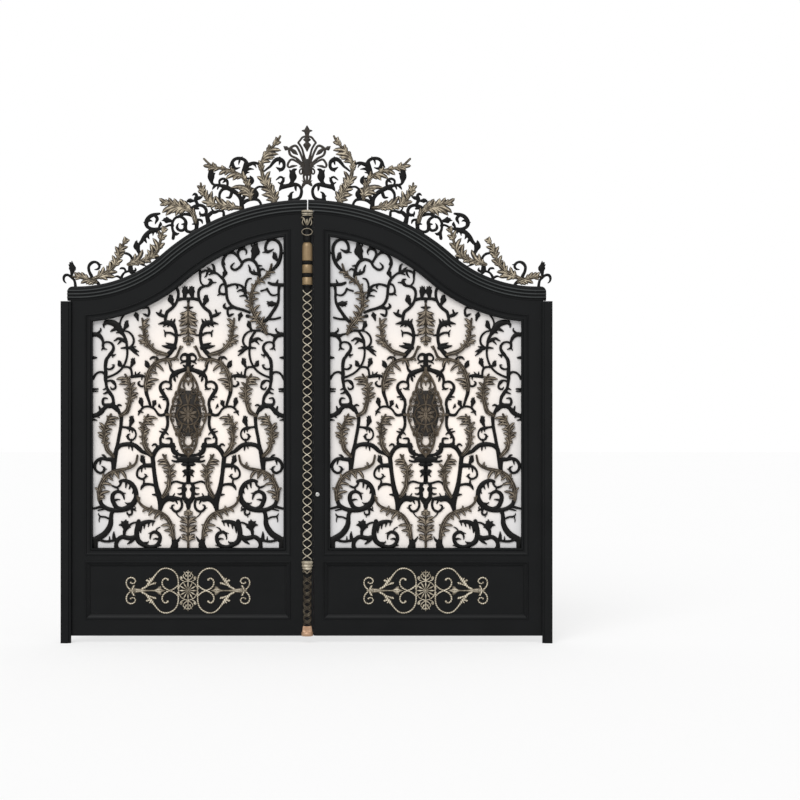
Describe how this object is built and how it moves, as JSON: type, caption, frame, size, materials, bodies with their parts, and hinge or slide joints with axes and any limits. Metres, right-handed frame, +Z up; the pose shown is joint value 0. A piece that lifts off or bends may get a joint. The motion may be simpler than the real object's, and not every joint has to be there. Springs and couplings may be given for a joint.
{
  "type": "driveway gate",
  "caption": "Double-leaf driveway gate with an ogee top, scrollwork over a pale backing sheet, a kick panel and a scrolled crown, hung on slim posts.",
  "frame": {"origin": "middle of the left post's foot, on the ground", "axes": "+X along the gate to the right seen from the front, +Y away from the viewer, +Z up"},
  "size_m": [3.2, 0.133, 3.372],
  "materials": {
    "charcoal_paint": "satin charcoal paint",
    "opal_sheet": "opal, softly matt",
    "antique_bronze": "antique bronze rubbed over black",
    "antique_gold": "antique gold rubbed over black",
    "bright_steel": "bright"
  },
  "bodies": {
    "posts": {"left_post": "charcoal_paint", "right_post": "charcoal_paint", "left_post_hinges": "charcoal_paint", "right_post_hinges": "charcoal_paint"},
    "left_leaf": {"left_leaf_hinges": "charcoal_paint", "left_outer_stile": "charcoal_paint", "left_meeting_stile": "charcoal_paint", "left_arched_rail": "charcoal_paint", "left_middle_rail": "charcoal_paint", "left_bottom_rail": "charcoal_paint", "left_cap": "charcoal_paint", "left_panel_moulding": "charcoal_paint", "left_backing_sheet": "opal_sheet", "left_kick_moulding": "charcoal_paint", "left_kick_panel": "charcoal_paint", "column_shaft": "antique_gold", "column_foot": "antique_gold", "column_capital": "antique_gold", "left_grille_scrolls": "charcoal_paint", "left_grille_leaves": "antique_bronze", "left_medallion": "antique_bronze", "left_kick_ornament": "antique_gold", "left_crown_scrolls": "charcoal_paint", "left_crown_leaves": "antique_bronze", "palmette": "antique_bronze"},
    "right_leaf": {"right_leaf_hinges": "charcoal_paint", "right_outer_stile": "charcoal_paint", "right_meeting_stile": "charcoal_paint", "right_arched_rail": "charcoal_paint", "right_middle_rail": "charcoal_paint", "right_bottom_rail": "charcoal_paint", "right_cap": "charcoal_paint", "right_panel_moulding": "charcoal_paint", "right_backing_sheet": "opal_sheet", "right_kick_moulding": "charcoal_paint", "right_kick_panel": "charcoal_paint", "right_cap_end": "charcoal_paint", "right_grille_scrolls": "charcoal_paint", "right_grille_leaves": "antique_bronze", "right_medallion": "antique_bronze", "right_kick_ornament": "antique_gold", "right_crown_scrolls": "charcoal_paint", "right_crown_leaves": "antique_bronze", "lock_cylinder": "bright_steel"}
  },
  "joints": [
    {"name": "left_swing", "type": "hinge", "parent": "posts", "child": "left_leaf", "pos_m": [0.0215, 0.05, 0], "axis": [0, 0, 1], "range_deg": [0, 95]},
    {"name": "right_swing", "type": "hinge", "parent": "posts", "child": "right_leaf", "pos_m": [3.1135, 0.05, 0], "axis": [0, 0, -1], "range_deg": [0, 95]}
  ]
}
